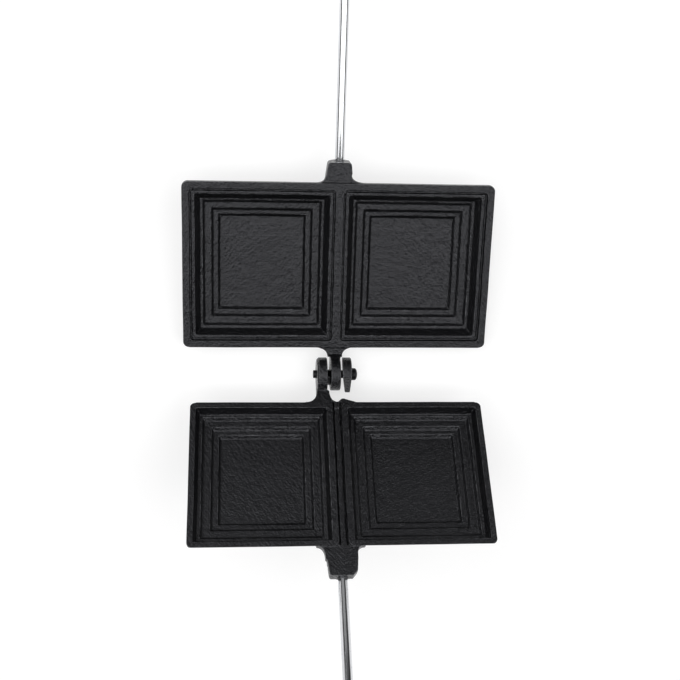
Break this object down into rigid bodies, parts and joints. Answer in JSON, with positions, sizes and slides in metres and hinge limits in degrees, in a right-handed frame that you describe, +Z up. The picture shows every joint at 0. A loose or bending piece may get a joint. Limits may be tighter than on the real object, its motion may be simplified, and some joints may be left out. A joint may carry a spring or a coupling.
{
  "type": "double pie iron",
  "caption": "Hinged cast iron camp-fire toaster with two terraced square moulds in each half, steel rods and wooden handles.",
  "frame": {"origin": "on the ground, under the middle of the whole object's box, with the iron opened in a shallow V as it is put down", "axes": "+X along the hinge pin towards its round head, +Y towards the frame half's handle, +Z up"},
  "size_m": [0.21, 1.2442, 0.4413],
  "materials": {
    "seasoned_iron": "sand-cast, seasoned, satin",
    "plated_steel": "polished plating",
    "dark_steel": "darkened, satin",
    "handle_wood": "turned hardwood, thin varnish"
  },
  "bodies": {
    "frame_side": {"frame_half": "seasoned_iron", "frame_half_rod": "plated_steel", "frame_half_rod_pin": "dark_steel", "frame_half_handle": "handle_wood", "frame_half_handle_pin": "dark_steel"},
    "rim_side": {"rim_half": "seasoned_iron", "hinge_pin": "dark_steel", "loose_hinge_ear": "seasoned_iron", "rim_half_rod": "plated_steel", "rim_half_rod_pin": "dark_steel", "rim_half_handle": "handle_wood", "rim_half_handle_pin": "dark_steel"}
  },
  "joints": [
    {"name": "hinge", "type": "hinge", "parent": "frame_side", "child": "rim_side", "pos_m": [0, -0.06529, 0.0117], "axis": [-1, 0, 0], "range_deg": [0, 130.6]}
  ]
}
